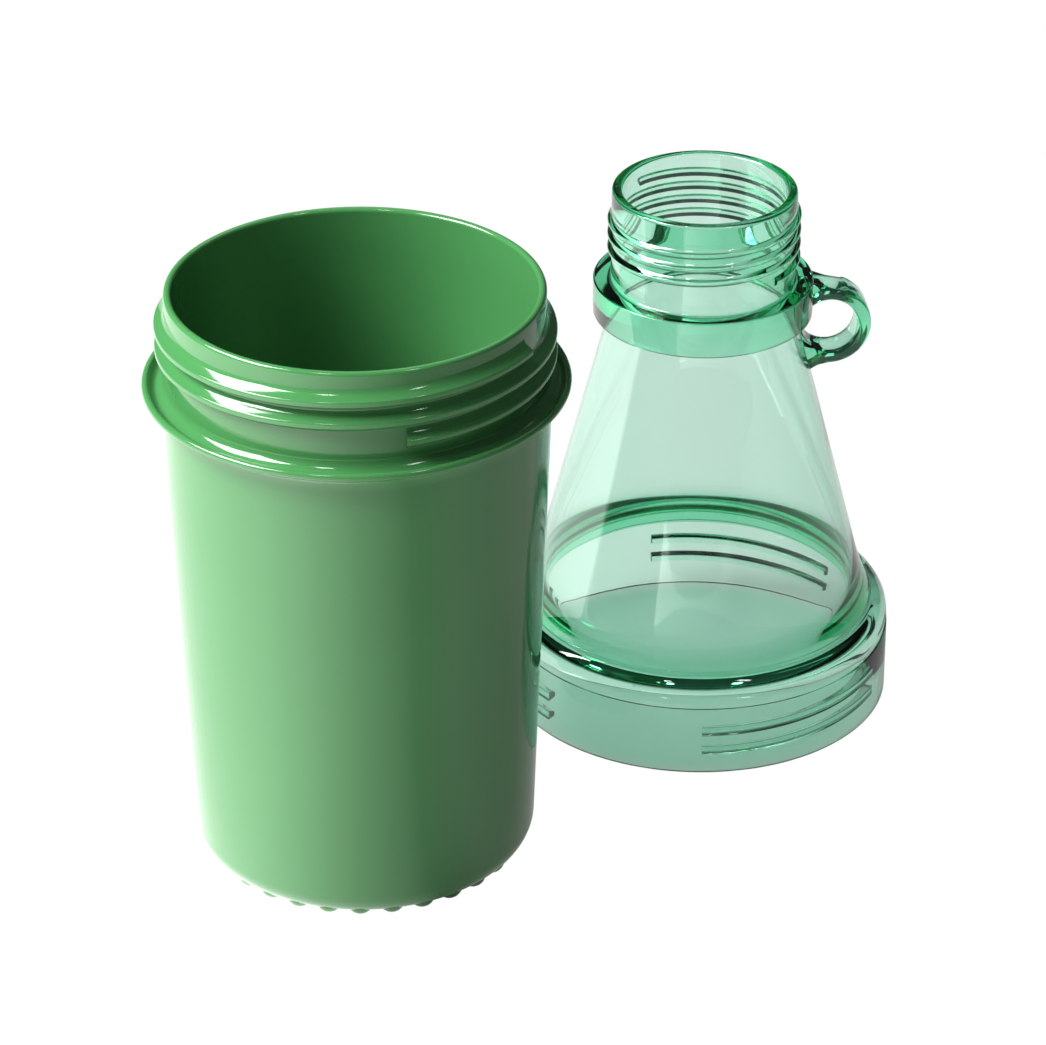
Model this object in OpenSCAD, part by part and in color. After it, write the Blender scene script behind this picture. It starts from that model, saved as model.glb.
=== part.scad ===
// Two-piece wasp trap: an opaque cup with a screw mouth, and a clear
// cone-shaped top that screws onto it. The two stand side by side, apart.
// Millimetres, +Z up, floor at z = 0.

/* [View] */

// Part to show

/* [Layout] */

// Distance between the two axes along X
gap_x = 84.81; // [80:0.01:140]

// Distance between the two axes along Y
gap_y = 76.94; // [60:0.01:140]

/* [Cup body] */

// Height of the cup over its feet
cup_h = 151; // [120:0.5:180]

// Outer radius of the body at the floor, before the corner
body_r0 = 41.75; // [36:0.05:44]

// Growth of the body's radius for each millimetre of height
body_taper = 0.0374; // [0.01:0.0001:0.06]

// Radius of the rounded bottom corner
corner_r = 7.5; // [4:0.1:9]

// Height of the corner's centre over the floor
corner_z = 8.3; // [7:0.1:11]

// Thickness of the wall at the bottom
cup_wall = 2; // [1.5:0.1:3]

// Number of rounded feet round the bottom
foot_n = 30; // [20:1:40]

// Radius of one rounded foot
foot_r = 3.4; // [2.5:0.1:4]

// Radius of the circle on which the feet stand
foot_ring_r = 36.4; // [34:0.1:39]

/* [Cup mouth] */

// Outer radius of the neck, at the thread's root
mouth_r = 45; // [43:0.1:46]

// Inner radius of the mouth
mouth_bore_r = 43; // [41:0.1:43.5]

// Radius of the thread's crest
mouth_crest_r = 47.5; // [46.5:0.1:47.9]

// Pitch of the large screw thread
big_pitch = 5.5; // [5:0.05:6]

// Outer radius of the flange under the thread
flange_r = 50.95; // [50:0.05:52]

// Height of the flange's lip
flange_z = 127.1; // [120:0.1:130]

/* [Top skirt] */

// Outer radius of the skirt
skirt_r = 49.86; // [49.5:0.02:51]

// Inner radius of the skirt
socket_r = 48.4; // [48:0.1:48.8]

// Height of the step between skirt and shoulder
skirt_h = 18.8; // [16:0.1:21]

// Radius of the rounded shoulder
shoulder_r = 5.7; // [4:0.1:7]

// Height of the face that rests on the cup's rim
seat_z = 22.8; // [20:0.1:23.5]

// Inner radius of the thick ring at the cone's foot
ring_bore_r = 41.4; // [40.5:0.1:42.5]

// Radius to which the inner thread pieces reach
inner_tip_r = 46.7; // [45.6:0.1:47]

/* [Top cone] */

// Outer radius of the cone at its foot
cone_r0 = 44.97; // [40:0.01:46]

// Height of the cone's foot
cone_z0 = 23.7; // [20:0.1:26]

// Loss of radius for each millimetre of height
cone_slope = 0.2566; // [0.2:0.0001:0.3]

// Thickness of the cone's wall
cone_wall = 1.25; // [1:0.05:2]

// Height of the groove between shoulder and cone
foot_z0 = 27.4; // [26.8:0.1:29]

// Height where the cone begins to flare towards its foot
foot_z1 = 37.4; // [34:0.1:42]

// Radius of the flare's curve
flare_r = 40; // [30:1:80]

/* [Top neck] */

// Height of the top
top_h = 141; // [120:0.5:160]

// Outer radius of the neck
neck_r = 23.3; // [20:0.1:25]

// Inner radius of the neck at its mouth
neck_bore_r = 20.6; // [18:0.1:22]

// Radius of the neck thread's crest
neck_crest_r = 24.3; // [23.5:0.1:25]

// Pitch of the neck thread
neck_pitch = 3.75; // [3:0.05:5]

// Outer radius of the collar
collar_r = 27.83; // [26:0.05:30]

// Height of the collar's lower face
collar_z0 = 107; // [100:0.5:110]

// Height of the collar's upper face
collar_z1 = 116.6; // [112:0.1:120]

/* [Hanging eyelet] */

// Radius of the eyelet's hole
eye_r = 7.1; // [5:0.1:8]

// Distance of the hole's centre from the axis
eye_x = 32.1; // [31:0.1:35]

// Height of the hole's centre
eye_z = 103.2; // [100:0.1:106]

// Outer radius of the eyelet about its hole
lug_r = 10.6; // [9:0.1:12]

// Thickness of the eyelet
lug_t = 9.5; // [6:0.1:12]

// Direction of the eyelet round the axis, in degrees from +X
lug_dir = 5; // [0:1:360]

/* [Hidden] */

$fn = 96;

// Axis positions that centre the pair's box on the origin.
cup_x = -(gap_x + skirt_r - flange_r) / 2;
cup_y = -(gap_y + skirt_r - flange_r) / 2;
top_x = cup_x + gap_x;
top_y = cup_y + gap_y;

// Cup values.
taper_len = sqrt(1 + body_taper * body_taper);
taper_a = atan(body_taper);
corner_x = body_r0 + body_taper * corner_z - corner_r * taper_len;
floor_z = corner_z - corner_r + cup_wall;
lip_r = (mouth_r - mouth_bore_r) / 2;
lip_x = (mouth_r + mouth_bore_r) / 2;

// Top values.
shoulder_x = skirt_r - 0.16 - shoulder_r;
shoulder_z = skirt_h + 2.7;
seat_arc_r = 3.6;
inner_spans = [[-208, -142], [-90, -24], [39, 103]];

function body_r(z) = body_r0 + body_taper * z;

function cone_r(z) = cone_r0 - cone_slope * (z - cone_z0);

function flared_r(z) = cone_r(z) + pow(foot_z1 - z, 2) / (2 * flare_r);

// Points on an arc in the radius-height plane.
function arc(cx, cz, r, a0, a1, n) = [
  for (i = [0 : n])
    let (a = a0 + (a1 - a0) * i / n)
    [cx + r * cos(a), cz + r * sin(a)]
];

// The cup's wall, from the outside of the floor over the rim to its inside.
cup_profile = concat(
  [[0, corner_z - corner_r]],
  arc(corner_x, corner_z, corner_r, -90, -taper_a, 8),
  [[body_r(flange_z - 2.9), flange_z - 2.9]],
  [[flange_r - 2.95, flange_z - 2.2]],
  arc(flange_r - 0.85, flange_z, 0.85, -40, 150, 8),
  [[flange_r - 1.85, flange_z - 0.65]],
  arc(mouth_r + 3, flange_z + 2.1, 3, -90, -180, 6),
  arc(lip_x, cup_h - lip_r, lip_r, 0, 180, 8),
  [[mouth_bore_r - 0.1, 120]],
  arc(corner_x, corner_z, corner_r - cup_wall, 0, -90, 8),
  [[0, floor_z]]
);

// The top's outside, down to the axis.
top_outside = concat(
  [[0, 0]],
  [[skirt_r, 0]],
  [[skirt_r, skirt_h]],
  [[skirt_r - 0.3, skirt_h + 0.1]],
  [[skirt_r - 0.3, skirt_h + 0.4]],
  arc(shoulder_x, shoulder_z, shoulder_r, 0, 72, 10),
  [for (z = [foot_z0 : (foot_z1 - foot_z0) / 5 : foot_z1 + 0.1]) [flared_r(z), z]],
  [[cone_r(collar_z0 - 1.2), collar_z0 - 1.2]],
  [[cone_r(collar_z0) + 1, collar_z0]],
  [[collar_r - 0.8, collar_z0]],
  [[collar_r, collar_z0 + 0.8]],
  arc(collar_r - 0.5, collar_z1 - 0.5, 0.5, 0, 90, 4),
  arc(neck_r + 1, collar_z1 + 0.9, 0.9, -90, -180, 4),
  arc(neck_r - 0.8, top_h - 0.8, 0.8, 0, 90, 4),
  [[0, top_h]]
);

// The room inside the top, open at both ends.
top_inside = concat(
  [[0, -1]],
  [[socket_r, -1]],
  arc(socket_r - seat_arc_r, seat_z - seat_arc_r, seat_arc_r, 0, 90, 6),
  [[ring_bore_r + 0.6, seat_z]],
  [[ring_bore_r + 0.1, seat_z + 0.6]],
  [[ring_bore_r, seat_z + 7.2]],
  [[ring_bore_r - 0.4, seat_z + 10.7]],
  [[cone_r(36.5) - cone_wall, 36.5]],
  [[cone_r(collar_z0) - cone_wall, collar_z0]],
  [[neck_bore_r + 0.4, collar_z1 + 1.5]],
  arc(neck_bore_r + 0.8, top_h - 0.8, 0.8, 180, 90, 4),
  [[neck_bore_r + 0.8, top_h + 1]],
  [[0, top_h + 1]]
);

// Sweeps a small outline of [radius, height] points round the axis while it
// climbs. Directions are in degrees from +X; a0 is at height z0. The outline's
// points run clockwise, radius to the right and height up.
module ridge(outline, z0, pitch, a0, a1, n) {
  k = len(outline);
  pts = [
    for (i = [0 : n])
      let (a = a0 + (a1 - a0) * i / n)
      let (z = z0 + pitch * (a - a0) / 360)
      for (p = outline)
        [p[0] * cos(a), p[0] * sin(a), p[1] + z]
  ];
  sides = [
    for (i = [0 : n - 1])
      for (j = [0 : k - 1])
        let (q = (j + 1) % k)
        for (t = [0 : 1])
          t == 0
            ? [i * k + j, (i + 1) * k + j, (i + 1) * k + q]
            : [i * k + j, (i + 1) * k + q, i * k + q]
  ];
  first = [for (j = [0 : k - 1]) j];
  last = [for (j = [k - 1 : -1 : 0]) n * k + j];
  polyhedron(points = pts, faces = concat(sides, [first], [last]));
}

// Opaque cup: body, ring of feet, flange and screw mouth in one moulding.
module cup() {
  color("green")
    translate([cup_x, cup_y, 0])
      union() {
        difference() {
          union() {
            rotate_extrude()
              polygon(cup_profile);
            intersection() {
              cup_feet();
              cylinder(h = 7, r = 45);
            }
          }
          // Room inside the cup, cut clear of the feet.
          rotate_extrude()
            polygon(concat(
              [[0, floor_z]],
              arc(corner_x, corner_z, corner_r - cup_wall, -90, 0, 8),
              [[0, corner_z]]
            ));
        }
        cup_thread();
      }
}

// Ring of rounded feet.
module cup_feet() {
  for (i = [0 : foot_n - 1])
    rotate([0, 0, 360 / foot_n * i + 5.8])
      translate([foot_ring_r, 0, foot_r])
        sphere(r = foot_r, $fn = 32);
}

// Single-start right-hand thread round the cup's mouth, a little over two turns.
module cup_thread() {
  ridge(
    [
      [mouth_r - 0.5, 0.29],
      [mouth_crest_r, -1.45],
      [mouth_crest_r, -2.75],
      [mouth_r - 0.5, -3.95]
    ],
    147.1 - 2.125 * big_pitch, big_pitch, -28.5 - 765, -28.5, 102
  );
}

// Clear top: skirt, shoulder, cone, collar, neck and eyelet in one moulding.
module top() {
  color("lightgreen", 0.5)
    translate([top_x, top_y, 0])
      union() {
        difference() {
          union() {
            rotate_extrude()
              polygon(top_outside);
            neck_thread();
            lug();
          }
          rotate_extrude()
            polygon(top_inside);
          lug_hole();
        }
        inner_thread();
      }
}

// Flat eyelet that stands out from the collar and the cone.
module lug() {
  rotate([0, 0, lug_dir])
    rotate([90, 0, 0])
      linear_extrude(height = lug_t, center = true)
        union() {
          translate([eye_x, eye_z])
            circle(r = lug_r);
          polygon([
            [18, collar_z1 - 1.4],
            [collar_r, collar_z1 - 1.4],
            [eye_x + 3.7, eye_z + 9.93],
            [eye_x, eye_z],
            [eye_x, eye_z - lug_r],
            [cone_r(90.8), 90.8],
            [18, 90.8]
          ]);
        }
}

// Through hole of the eyelet, along the tangent.
module lug_hole() {
  rotate([0, 0, lug_dir])
    translate([eye_x, 0, eye_z])
      rotate([90, 0, 0])
        cylinder(h = 40, r = eye_r, center = true);
}

// Single-start right-hand thread round the neck, three and a half turns.
module neck_thread() {
  ridge(
    [
      [neck_r - 0.5, 2.15],
      [neck_crest_r, 1.5],
      [neck_crest_r, 0.4],
      [neck_r - 0.5, -0.25]
    ],
    121.64, neck_pitch, -43, -43 + 1260, 105
  );
}

// Three short pieces of double ridge inside the skirt, on one helix.
module inner_thread() {
  for (span = inner_spans)
    for (d = [0, -big_pitch])
      ridge(
        [
          [inner_tip_r, 1.95],
          [socket_r + 0.6, 2.52],
          [socket_r + 0.6, -0.12],
          [inner_tip_r, 0.45]
        ],
        10.47 + big_pitch * (span[0] + 88) / 360 + d, big_pitch, span[0], span[1], 8
      );
}

cup();
top();
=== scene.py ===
import bpy, math
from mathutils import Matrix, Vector


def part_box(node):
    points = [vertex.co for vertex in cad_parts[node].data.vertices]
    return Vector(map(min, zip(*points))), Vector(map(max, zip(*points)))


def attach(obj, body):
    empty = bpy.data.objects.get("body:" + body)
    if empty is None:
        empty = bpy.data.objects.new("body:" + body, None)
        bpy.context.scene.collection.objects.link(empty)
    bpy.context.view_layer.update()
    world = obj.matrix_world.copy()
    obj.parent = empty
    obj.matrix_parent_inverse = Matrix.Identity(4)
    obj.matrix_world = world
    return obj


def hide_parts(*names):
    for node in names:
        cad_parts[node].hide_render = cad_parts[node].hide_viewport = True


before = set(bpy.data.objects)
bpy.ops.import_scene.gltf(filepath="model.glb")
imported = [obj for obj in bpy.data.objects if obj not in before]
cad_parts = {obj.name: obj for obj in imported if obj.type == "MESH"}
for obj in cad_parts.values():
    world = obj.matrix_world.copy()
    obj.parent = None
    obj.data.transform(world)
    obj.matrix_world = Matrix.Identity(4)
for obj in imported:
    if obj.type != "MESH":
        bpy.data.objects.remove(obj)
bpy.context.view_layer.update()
bpy.ops.object.select_all(action='DESELECT')

# --------------------------------------------------------------------------
# The table, the lights and the camera.
# A table that looks plain white but glows with painted light in gloss and through the plastic:
# a painted glow brightest on the left, a painted dark sector on the right and a painted green glow
# under the top.
# A big window on the left, three small lights, and a long lens that looks down at the pair.
# --------------------------------------------------------------------------


def axis_of(piece):
    """The upright axis of a piece: the middle of its box, from above."""
    low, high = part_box(piece)
    return ((low[0] + high[0]) / 2, (low[1] + high[1]) / 2)


CUP = axis_of("cup")
TOP = axis_of("top")

bpy.ops.mesh.primitive_plane_add(size=6.0, location=(0.0, 0.0, -0.0002))
table = bpy.context.object
table.name = "table_top"


def make_table_with_painted_glow():
    """Plain white when looked at. In gloss and through the plastic it glows with painted light:
    a painted glow round the cup, brightest on the left with a painted dark sector on the right, and a
    painted green glow under the top."""
    skin = bpy.data.materials.new("table with painted glow")
    skin.use_nodes = True
    node, link = skin.node_tree.nodes.new, skin.node_tree.links.new
    paint = skin.node_tree.nodes["Principled BSDF"]
    paint.inputs["Base Color"].default_value = (0.22, 0.22, 0.22, 1.0)
    paint.inputs["Roughness"].default_value = 0.55

    # Painted light, not light from the lamps: the table glows by direction from the cup's axis, with a
    # painted pool of light on the left and a painted dark sector on the right front. The fan goes from
    # the left (0) over the front (0.25) and the right (0.5) to the back.
    where, from_cup = node('ShaderNodeTexCoord'), node('ShaderNodeMapping')
    painted_glow_fan = node('ShaderNodeTexGradient')
    from_cup.inputs["Location"].default_value = (-CUP[0], -CUP[1], 0.0)
    painted_glow_fan.gradient_type = 'RADIAL'
    light = node('ShaderNodeValToRGB')
    shades = light.color_ramp.elements
    shades[0].color = (0.75, 0.75, 0.75, 1.0)
    shades[1].color = (0.75, 0.75, 0.75, 1.0)
    for spot, shade in ((0.11, 1.0), (0.17, 0.9), (0.25, 0.45), (0.305, 0.22), (0.335, 0.04),
                        (0.40, 0.16), (0.50, 0.14), (0.617, 0.16), (0.75, 0.26)):
        shades.new(spot).color = (shade, shade, shade, 1.0)
    painted_glow_peak = node('ShaderNodeMath')
    painted_glow_peak.operation = 'MULTIPLY'
    painted_glow_peak.inputs[1].default_value = 2.4
    link(where.outputs["Object"], from_cup.inputs["Vector"])
    link(from_cup.outputs["Vector"], painted_glow_fan.inputs["Vector"])
    link(painted_glow_fan.outputs["Fac"], light.inputs["Fac"])
    link(light.outputs["Color"], painted_glow_peak.inputs[0])

    # Painted light: under the top the table glows a painted green instead, standing in for light
    # passing through the green plastic.
    from_top, painted_green_glow_mask = node('ShaderNodeVectorMath'), node('ShaderNodeMapRange')
    from_top.operation = 'DISTANCE'
    from_top.inputs[1].default_value = (TOP[0], TOP[1], 0.0)
    painted_green_glow_mask.inputs["From Min"].default_value = 0.044
    painted_green_glow_mask.inputs["From Max"].default_value = 0.052
    color, painted_glow_strength = node('ShaderNodeMix'), node('ShaderNodeMix')
    color.data_type = 'RGBA'
    color.inputs[6].default_value = (0.55, 1.0, 0.78, 1.0)
    color.inputs[7].default_value = (1.0, 1.0, 0.97, 1.0)
    painted_glow_strength.data_type = 'FLOAT'
    painted_glow_strength.inputs[2].default_value = 0.40
    link(where.outputs["Object"], from_top.inputs[0])
    link(from_top.outputs["Value"], painted_green_glow_mask.inputs["Value"])
    link(painted_green_glow_mask.outputs["Result"], color.inputs[0])
    link(painted_green_glow_mask.outputs["Result"], painted_glow_strength.inputs[0])
    link(painted_glow_peak.outputs["Value"], painted_glow_strength.inputs[3])
    # The painted glow drives the table's emission, so the table glows though it is no lamp.
    link(color.outputs[2], paint.inputs["Emission Color"])
    link(painted_glow_strength.outputs[0], paint.inputs["Emission Strength"])

    white, looked_at = node('ShaderNodeEmission'), node('ShaderNodeLightPath')
    swap = node('ShaderNodeMixShader')
    link(looked_at.outputs["Is Camera Ray"], swap.inputs[0])
    link(paint.outputs["BSDF"], swap.inputs[1])
    link(white.outputs["Emission"], swap.inputs[2])
    link(swap.outputs["Shader"], skin.node_tree.nodes["Material Output"].inputs["Surface"])
    return skin


table.data.materials.append(make_table_with_painted_glow())

room = bpy.data.worlds.new("dim room")
room.use_nodes = True
bpy.context.scene.world = room
air = room.node_tree.nodes["Background"]
air.inputs["Color"].default_value = (0.93, 0.97, 1.0, 1.0)
air.inputs["Strength"].default_value = 0.06


def window(name, azimuth, elevation, distance, width, height, watts):
    """An area light aimed at the pair: azimuth from the front, towards +X."""
    a, e = math.radians(azimuth), math.radians(elevation)
    off = Vector((math.sin(a) * math.cos(e), -math.cos(a) * math.cos(e), math.sin(e)))
    bpy.ops.object.light_add(type='AREA', location=Vector((0, 0, 0.1)) + off * distance)
    lamp = bpy.context.object
    lamp.name = name
    lamp.data.shape = 'RECTANGLE'
    lamp.data.size = width
    lamp.data.size_y = height
    lamp.data.energy = watts
    lamp.rotation_euler = off.to_track_quat('Z', 'Y').to_euler()


window("window_left", -78, 44, 1.2, 0.80, 0.55, 42.0)
window("window_front", -27, 59, 1.4, 0.16, 0.16, 2.0)
window("window_right", 42, 56, 1.5, 0.12, 0.25, 1.5)
window("window_back", 165, 52, 1.6, 0.9, 0.6, 2.0)

LOOK_DOWN = 28.8625
bpy.ops.object.camera_add(location=(-0.002525, -1.00873, 0.62296),
                          rotation=(math.radians(90 - LOOK_DOWN), 0, 0))
camera = bpy.context.object
camera.data.sensor_fit = 'HORIZONTAL'
camera.data.sensor_width = 36.0
camera.data.lens = 158.5
bpy.context.scene.camera = camera
bpy.context.scene.view_settings.view_transform = 'Standard'

# --------------------------------------------------------------------------
# Cup: one injection moulding in opaque green plastic, with a 2 mm wall.
# Tapered body on a ring of rounded feet, a flange that the top's skirt closes
# onto, and a mouth with a screw thread under a rounded rim.
# --------------------------------------------------------------------------
MM = 0.001
ROUND_STEPS = 288
CUP_H = 151.0
WALL = 2.0
BODY_R = 41.75
TAPER = 0.0374
LEAN = math.degrees(math.atan(TAPER))
CORNER_R = 7.5
CORNER_Z = 8.3
CORNER_X = 34.556
FLANGE_R = 50.92
FLANGE_Z = 127.05
MOUTH_R = 45.0
RIM_R = 1.0


def arc(x, z, r, a0, a1, n):
    """Points of an arc in the plane of radius and height, in millimetres."""
    return [(x + r * math.cos(math.radians(a0 + (a1 - a0) * i / n)),
             z + r * math.sin(math.radians(a0 + (a1 - a0) * i / n)))
            for i in range(n + 1)]


def draw_line(name, points, closed):
    """Draws a chain of edges in the XZ plane by extruding one vertex."""
    bpy.ops.object.select_all(action='DESELECT')
    bpy.ops.mesh.primitive_plane_add(size=0.001, location=(0, 0, 0))
    line = bpy.context.object
    line.name = name
    bpy.ops.object.mode_set(mode='EDIT')
    bpy.ops.mesh.select_all(action='SELECT')
    bpy.ops.mesh.merge(type='CENTER')
    bpy.ops.transform.translate(value=(points[0][0] * MM, 0, points[0][1] * MM))
    for (x0, z0), (x1, z1) in zip(points, points[1:]):
        bpy.ops.mesh.extrude_region_move(
            TRANSFORM_OT_translate={"value": ((x1 - x0) * MM, 0, (z1 - z0) * MM)})
    if closed:
        bpy.ops.mesh.select_all(action='SELECT')
        bpy.ops.mesh.edge_face_add()
    bpy.ops.object.mode_set(mode='OBJECT')
    return line


def tidy_normals():
    """Merges the doubles of the mesh in edit mode and turns its faces out."""
    bpy.ops.mesh.select_all(action='SELECT')
    bpy.ops.mesh.remove_doubles(threshold=2e-6)
    bpy.ops.mesh.normals_make_consistent(inside=False)


def place(solid, axis):
    """Moves a solid that was made round the origin onto its piece's axis."""
    bpy.ops.object.select_all(action='DESELECT')
    bpy.context.view_layer.objects.active = solid
    solid.select_set(True)
    solid.location.x += axis[0]
    solid.location.y += axis[1]
    bpy.ops.object.transform_apply(location=True, rotation=True, scale=True)


def turned(name, points, axis, steps):
    """Spins an outline once round an upright axis into a closed solid."""
    solid = draw_line(name, points, False)
    bpy.ops.object.mode_set(mode='EDIT')
    bpy.ops.mesh.select_all(action='SELECT')
    bpy.ops.mesh.spin(steps=steps, angle=2 * math.pi, center=(0, 0, 0), axis=(0, 0, 1))
    tidy_normals()
    bpy.ops.object.mode_set(mode='OBJECT')
    place(solid, axis)
    return solid


def combine(solid, tool, how):
    """Fuses a tool to a solid or cuts it away, then drops the tool."""
    bpy.ops.object.select_all(action='DESELECT')
    bpy.context.view_layer.objects.active = solid
    solid.select_set(True)
    cut = solid.modifiers.new("combine", 'BOOLEAN')
    cut.operation = how
    cut.solver = 'EXACT'
    cut.object = tool
    bpy.ops.object.modifier_apply(modifier="combine")
    bpy.data.objects.remove(tool, do_unlink=True)


cup_line = (
    [(0, CORNER_Z - CORNER_R)]
    + arc(CORNER_X, CORNER_Z, CORNER_R, -90, -LEAN, 12)
    + [(BODY_R + TAPER * z, z) for z in (24, 44, 64, 84, 104, 121)]
    + [(46.5, 123.4), (46.9, 124.1), (47.7, 124.7), (48.9, 125.4)]
    + arc(FLANGE_R - 0.92, FLANGE_Z, 0.92, -50, 130, 12)
    + [(49.0, 127.0), (48.6, 126.6), (48.0, 126.3)]
    + arc(MOUTH_R + 3, 129.3, 3.0, -100, -180, 8)
    + [(MOUTH_R, z) for z in (132, 136, 140, 144, 147)]
    + arc(MOUTH_R - RIM_R, CUP_H - RIM_R, RIM_R, 0, 180, 12)
    + [(42.97, 140), (42.93, 130), (42.9, 120), (42.1, 90), (41.35, 60), (40.6, 30)]
    + arc(CORNER_X, CORNER_Z, CORNER_R - WALL, 0, -90, 10)
    + [(0, CORNER_Z - CORNER_R + WALL)]
)
cup = turned("cup_moulding", cup_line, CUP, ROUND_STEPS)

# The ring of feet: round feet joined into one tool, cut off inside the wall.
FEET = 30
FOOT_R = 3.4
FOOT_RING_R = 36.4
FIRST_FOOT = 5.8
bpy.ops.object.select_all(action='DESELECT')
feet = []
for k in range(FEET):
    turn = math.radians(360 / FEET * k + FIRST_FOOT)
    bpy.ops.mesh.primitive_uv_sphere_add(
        segments=20, ring_count=12, radius=FOOT_R * MM, rotation=(0, 0, turn),
        location=(FOOT_RING_R * MM * math.cos(turn), FOOT_RING_R * MM * math.sin(turn), FOOT_R * MM))
    feet.append(bpy.context.object)
for foot in feet:
    foot.select_set(True)
bpy.context.view_layer.objects.active = feet[0]
bpy.ops.object.join()
foot_ring = bpy.context.object
bpy.ops.object.transform_apply(location=True, rotation=True, scale=True)
place(foot_ring, CUP)
mid_wall_r = CORNER_R - 0.95
mid_wall_line = (
    [(0, CORNER_Z - mid_wall_r)]
    + arc(CORNER_X, CORNER_Z, mid_wall_r, -90, 0, 10)
    + [(41.2, 14), (0, 14)]
)
combine(foot_ring, turned("foot_core", mid_wall_line, CUP, 180), 'DIFFERENCE')
combine(cup, foot_ring, 'UNION')

# The mouth's thread: a rounded ridge that climbs a little over two turns.
CUP_PITCH = 5.5
CUP_TURN = 765
CUP_THREAD_END = 61.5
CUP_THREAD_TOP = 147.1


def thread_ridge(name, outline, axis, azimuth, turn, pitch, steps):
    """Screws a closed outline up round an axis: azimuth and turn in degrees."""
    ridge = draw_line(name, outline, True)
    bpy.ops.object.mode_set(mode='EDIT')
    bpy.ops.mesh.select_all(action='SELECT')
    bpy.ops.mesh.delete(type='ONLY_FACE')
    bpy.ops.object.mode_set(mode='OBJECT')
    ridge.rotation_euler.z = math.radians(azimuth - 90)
    bpy.ops.object.transform_apply(location=True, rotation=True, scale=True)
    screw = ridge.modifiers.new("screw", 'SCREW')
    screw.angle = math.radians(turn)
    screw.screw_offset = pitch * MM * turn / 360
    screw.steps = steps
    screw.render_steps = steps
    bpy.ops.object.modifier_apply(modifier="screw")
    bpy.ops.object.mode_set(mode='EDIT')
    bpy.ops.mesh.select_all(action='SELECT')
    bpy.ops.mesh.fill_holes(sides=0)
    tidy_normals()
    bpy.ops.object.mode_set(mode='OBJECT')
    place(ridge, axis)
    return ridge


cup_ridge = (
    [(44.3, 0.95), (45.02, 0.78), (45.25, 0.25), (45.7, -0.34)]
    + arc(46.9, -1.797, 0.6, 60, 0, 5)
    + arc(47.0, -2.412, 0.5, 0, -68, 5)
    + [(45.7, -3.52), (45.25, -3.85), (45.02, -4.35), (44.3, -4.5)]
)
z0 = CUP_THREAD_TOP - CUP_PITCH * CUP_TURN / 360
cup_thread = thread_ridge("cup_thread", [(x, z + z0) for x, z in cup_ridge],
                          CUP, CUP_THREAD_END - CUP_TURN, CUP_TURN, CUP_PITCH, 612)
combine(cup, cup_thread, 'UNION')
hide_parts("cup")
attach(cup, "cup")


def smooth(solid, angle):
    """Shades a solid smooth except at edges sharper than the angle."""
    bpy.ops.object.select_all(action='DESELECT')
    bpy.context.view_layer.objects.active = solid
    solid.select_set(True)
    bpy.ops.object.shade_smooth_by_angle(angle=math.radians(angle))


smooth(cup, 38)


def moulded_surface():
    """Node group: slow waves, fine grain and a tint drift of moulded plastic."""
    group = bpy.data.node_groups.new("moulded surface", 'ShaderNodeTree')
    face = group.interface
    face.new_socket("Vector", in_out='INPUT', socket_type='NodeSocketVector')
    waves = face.new_socket("Wave Scale", in_out='INPUT', socket_type='NodeSocketFloat')
    grain = face.new_socket("Grain Scale", in_out='INPUT', socket_type='NodeSocketFloat')
    share = face.new_socket("Grain Share", in_out='INPUT', socket_type='NodeSocketFloat')
    waves.default_value, grain.default_value, share.default_value = 25.0, 1500.0, 0.02
    face.new_socket("Height", in_out='OUTPUT', socket_type='NodeSocketFloat')
    face.new_socket("Drift", in_out='OUTPUT', socket_type='NodeSocketFloat')
    node, link = group.nodes.new, group.links.new
    into, out = node('NodeGroupInput'), node('NodeGroupOutput')
    slow, fine = node('ShaderNodeTexNoise'), node('ShaderNodeTexNoise')
    slow.inputs["Detail"].default_value = 1.0
    fine.inputs["Detail"].default_value = 2.0
    for tex, scale in ((slow, "Wave Scale"), (fine, "Grain Scale")):
        link(into.outputs["Vector"], tex.inputs["Vector"])
        link(into.outputs[scale], tex.inputs["Scale"])
    mix = node('ShaderNodeMix')
    mix.data_type = 'FLOAT'
    link(into.outputs["Grain Share"], mix.inputs[0])
    link(slow.outputs["Fac"], mix.inputs[2])
    link(fine.outputs["Fac"], mix.inputs[3])
    link(mix.outputs[0], out.inputs["Height"])
    link(slow.outputs["Fac"], out.inputs["Drift"])
    return group


surface = moulded_surface()


def plastic(name):
    """A material with the moulded surface group and a bump node in place."""
    skin = bpy.data.materials.new(name)
    skin.use_nodes = True
    node, link = skin.node_tree.nodes.new, skin.node_tree.links.new
    shader = skin.node_tree.nodes["Principled BSDF"]
    where, moulded, bump = node('ShaderNodeTexCoord'), node('ShaderNodeGroup'), node('ShaderNodeBump')
    moulded.node_tree = surface
    link(where.outputs["Object"], moulded.inputs["Vector"])
    link(moulded.outputs["Height"], bump.inputs["Height"])
    link(bump.outputs["Normal"], shader.inputs["Normal"])
    return skin, shader, moulded, bump


def green_cup_plastic():
    """Glossy opaque green that drifts a little between two shades."""
    skin, shader, moulded, bump = plastic("green cup plastic")
    bump.inputs["Strength"].default_value = 0.35
    bump.inputs["Distance"].default_value = 0.0008
    moulded.inputs["Wave Scale"].default_value = 22.0
    moulded.inputs["Grain Share"].default_value = 0.012
    tint = skin.node_tree.nodes.new('ShaderNodeMix')
    tint.data_type = 'RGBA'
    tint.inputs[6].default_value = (0.041, 0.168, 0.050, 1.0)
    tint.inputs[7].default_value = (0.050, 0.195, 0.060, 1.0)
    skin.node_tree.links.new(moulded.outputs["Drift"], tint.inputs[0])
    skin.node_tree.links.new(tint.outputs[2], shader.inputs["Base Color"])
    shader.inputs["Roughness"].default_value = 0.09
    shader.inputs["IOR"].default_value = 1.5
    return skin


cup.data.materials.clear()
cup.data.materials.append(green_cup_plastic())

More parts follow.
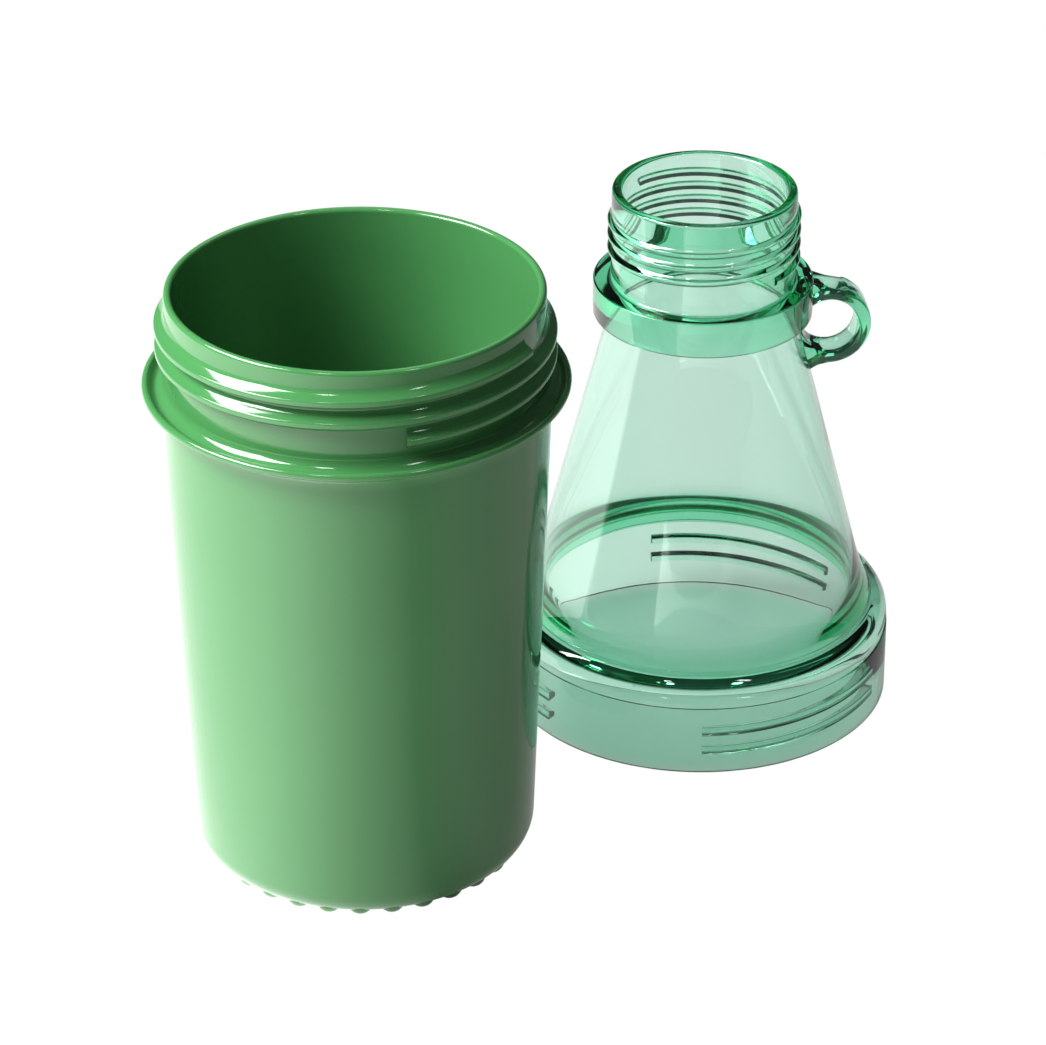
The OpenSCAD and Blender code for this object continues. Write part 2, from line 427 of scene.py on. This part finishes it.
# --------------------------------------------------------------------------
# Top: one injection moulding in clear plastic with a green tint. Skirt with
# short inner thread ridges, rounded shoulder, thin cone with a flared foot,
# thick collar with a flat hanging eyelet, and a neck with an outer thread.
# --------------------------------------------------------------------------
TOP_H = 141.0
SKIRT_R = 49.86
SOCKET_R = 48.4
SEAT_Z = 22.8
SEAT_ARC_R = 3.6
SHOULDER_R = 5.7
SHOULDER_Z = 21.5
CONE_WALL = 1.25
FLARE_R = 40
FLARE_Z = 37.4
COLLAR_R = 27.83
COLLAR_Z0 = 107
COLLAR_Z1 = 116.6


def cone(z):
    """Outer radius of the cone at a height."""
    return 44.97 - 0.2566 * (z - 23.7)


def flared(z):
    """Outer radius where the cone widens in a curve towards its foot."""
    return cone(z) + (FLARE_Z - z) ** 2 / (2 * FLARE_R)


top_outside = (
    [(SOCKET_R, 0), (SKIRT_R - 0.3, 0), (SKIRT_R, 0.3), (SKIRT_R, 9), (SKIRT_R, 18.5)]
    + [(SKIRT_R - 0.08, 18.75), (SKIRT_R - 0.3, 18.85), (SKIRT_R - 0.36, 19.05), (SKIRT_R - 0.3, 19.25)]
    + arc(SKIRT_R - 0.21 - SHOULDER_R, SHOULDER_Z, SHOULDER_R, 0, 74, 12)
    + [(45.35, 27.02), (45.2, 27.2)]
    + [(flared(z), z) for z in (27.6, 29, 30.5, 32, 33.5, 35, FLARE_Z)]
    + [(cone(z), z) for z in (44, 52, 64, 76, 88, 98, 104.5)]
    + [(23.95, 106.0), (24.3, 106.7), (25.0, COLLAR_Z0)]
    + arc(COLLAR_R - 0.8, COLLAR_Z0 + 0.8, 0.8, -90, 0, 5)
    + arc(COLLAR_R - 0.5, COLLAR_Z1 - 0.5, 0.5, 0, 90, 5)
    + [(24.6, COLLAR_Z1)]
    + arc(24.3, COLLAR_Z1 + 0.9, 0.9, -100, -178, 5)
    + [(23.36, 120), (23.35, 124), (23.34, 128), (23.32, 132), (23.31, 136)]
)
top_rim = (
    arc(22.4, TOP_H - 0.9, 0.9, 0, 90, 6)
    + arc(21.55, TOP_H - 0.9, 0.9, 90, 180, 6)
)
top_inside = (
    [(20.7, 134), (20.85, 126), (21.0, 118), (21.1, 116), (cone(COLLAR_Z0) - CONE_WALL, COLLAR_Z0)]
    + [(cone(z) - CONE_WALL, z) for z in (98, 88, 76, 64, 52, 40)]
    + [(40.6, 35.4), (41.0, 33.5), (41.25, 31.8), (41.36, 30.0)]
    + [(41.42, 27.0), (41.5, 23.5), (41.65, 23.0), (42.0, SEAT_Z)]
    + arc(SOCKET_R - SEAT_ARC_R, SEAT_Z - SEAT_ARC_R, SEAT_ARC_R, 90, 0, 10)
    + [(SOCKET_R, 12), (SOCKET_R, 6), (SOCKET_R, 0)]
)
top = turned("top_moulding", top_outside + top_rim + top_inside, TOP, ROUND_STEPS)

# The eyelet: a flat plate with a round end, holed and rounded along its
# edges, whose root is cut off inside the wall that it grows from.
EYE_X = 32.1
EYE_Z = 103.2
EYE_R = 7.1
EYELET_R = 10.6
EYELET_T = 9.5
EYELET_TURN = math.radians(5)


def eye_pin(radius, depth, turn):
    """A pin through the eyelet's hole, for an eyelet turned to a direction."""
    bpy.ops.object.select_all(action='DESELECT')
    bpy.ops.mesh.primitive_cylinder_add(
        vertices=72, radius=radius * MM, depth=depth * MM, rotation=(math.pi / 2, 0, turn),
        location=(EYE_X * MM * math.cos(turn), EYE_X * MM * math.sin(turn), EYE_Z * MM))
    bpy.ops.object.transform_apply(location=True, rotation=True, scale=True)
    return bpy.context.object


plate_line = (
    [(19.0, 115.2), (COLLAR_R, 115.2), (31.5, 113.75), (35.4, 112.9)]
    + arc(EYE_X, EYE_Z, EYELET_R, 68, -90, 30)
    + [(29.5, 92.0), (27.2, 90.7), (19.0, 90.7)]
)
eyelet = draw_line("eyelet", plate_line, True)
bpy.ops.object.mode_set(mode='EDIT')
bpy.ops.mesh.select_all(action='SELECT')
bpy.ops.mesh.extrude_region_move(TRANSFORM_OT_translate={"value": (0, EYELET_T * MM, 0)})
bpy.ops.mesh.select_all(action='SELECT')
bpy.ops.transform.translate(value=(0, -EYELET_T / 2 * MM, 0))
tidy_normals()
bpy.ops.object.mode_set(mode='OBJECT')
combine(eyelet, eye_pin(EYE_R, 30, 0), 'DIFFERENCE')
edges = eyelet.modifiers.new("round", 'BEVEL')
edges.width = 1.5 * MM
edges.segments = 5
edges.limit_method = 'ANGLE'
edges.angle_limit = math.radians(50)
bpy.ops.object.modifier_apply(modifier="round")
eyelet.rotation_euler.z = EYELET_TURN
bpy.ops.object.transform_apply(location=True, rotation=True, scale=True)
place(eyelet, TOP)
root_line = (
    [(0, 85)]
    + [(cone(z) - 0.6, z) for z in (85, COLLAR_Z0)]
    + [(22.4, 109), (22.4, 125), (0, 125)]
)
combine(eyelet, turned("eyelet_root", root_line, TOP, 200), 'DIFFERENCE')
combine(top, eyelet, 'UNION')

# The neck's thread: a narrow ridge that climbs three and a half turns.
neck_ridge = (
    [(22.9, -0.35), (23.36, -0.25), (23.6, 0.05)]
    + arc(23.95, 0.75, 0.35, -60, 0, 3)
    + arc(23.95, 1.2, 0.35, 0, 60, 3)
    + [(23.6, 1.9), (23.36, 2.2), (22.9, 2.3)]
)
neck_thread = thread_ridge("neck_thread", [(x, z + 121.64) for x, z in neck_ridge],
                           TOP, 47, 3.5 * 360, 3.75, 700)
combine(top, neck_thread, 'UNION')

# The hole goes on past the plate and grazes the collar's side.
grazing_pin = eye_pin(EYE_R - 0.05, 26, EYELET_TURN)
place(grazing_pin, TOP)
combine(top, grazing_pin, 'DIFFERENCE')

# Three short double ridges inside the skirt, on one helix of the cup's pitch.
HELIX_Z = 10.47
HELIX_AZIMUTH = 2
skirt_ridge = (
    [(48.9, -0.12), (48.42, -0.1), (47.9, 0.12)]
    + arc(47.1, 0.8, 0.4, -105, -180, 3)
    + arc(47.1, 1.6, 0.4, 180, 105, 3)
    + [(47.9, 2.28), (48.42, 2.5), (48.9, 2.52)]
)
for start, span in ((-118, 66), (0, 66), (129, 64)):
    for below in (0.0, CUP_PITCH):
        z0 = HELIX_Z + CUP_PITCH * (start - HELIX_AZIMUTH) / 360 - below
        piece = thread_ridge("skirt_thread", [(x, z + z0) for x, z in skirt_ridge],
                             TOP, start, span, CUP_PITCH, 53)
        combine(top, piece, 'UNION')
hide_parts("top")
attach(top, "top")
smooth(top, 38)


def clear_green_plastic():
    """Clear plastic with the green in its body, so thick places are darker."""
    skin, shader, moulded, bump = plastic("clear green plastic")
    shader.inputs["Base Color"].default_value = (0.995, 1.0, 0.995, 1.0)
    shader.inputs["Roughness"].default_value = 0.02
    shader.inputs["IOR"].default_value = 1.53
    shader.inputs["Transmission Weight"].default_value = 1.0
    bump.inputs["Strength"].default_value = 0.3
    bump.inputs["Distance"].default_value = 0.0004
    moulded.inputs["Wave Scale"].default_value = 30.0
    moulded.inputs["Grain Share"].default_value = 0.0
    body_tint = skin.node_tree.nodes.new('ShaderNodeVolumeAbsorption')
    body_tint.inputs["Color"].default_value = (0.0, 0.80, 0.50, 1.0)
    body_tint.inputs["Density"].default_value = 160.0
    skin.node_tree.links.new(body_tint.outputs["Volume"],
                             skin.node_tree.nodes["Material Output"].inputs["Volume"])
    return skin


top.data.materials.clear()
top.data.materials.append(clear_green_plastic())
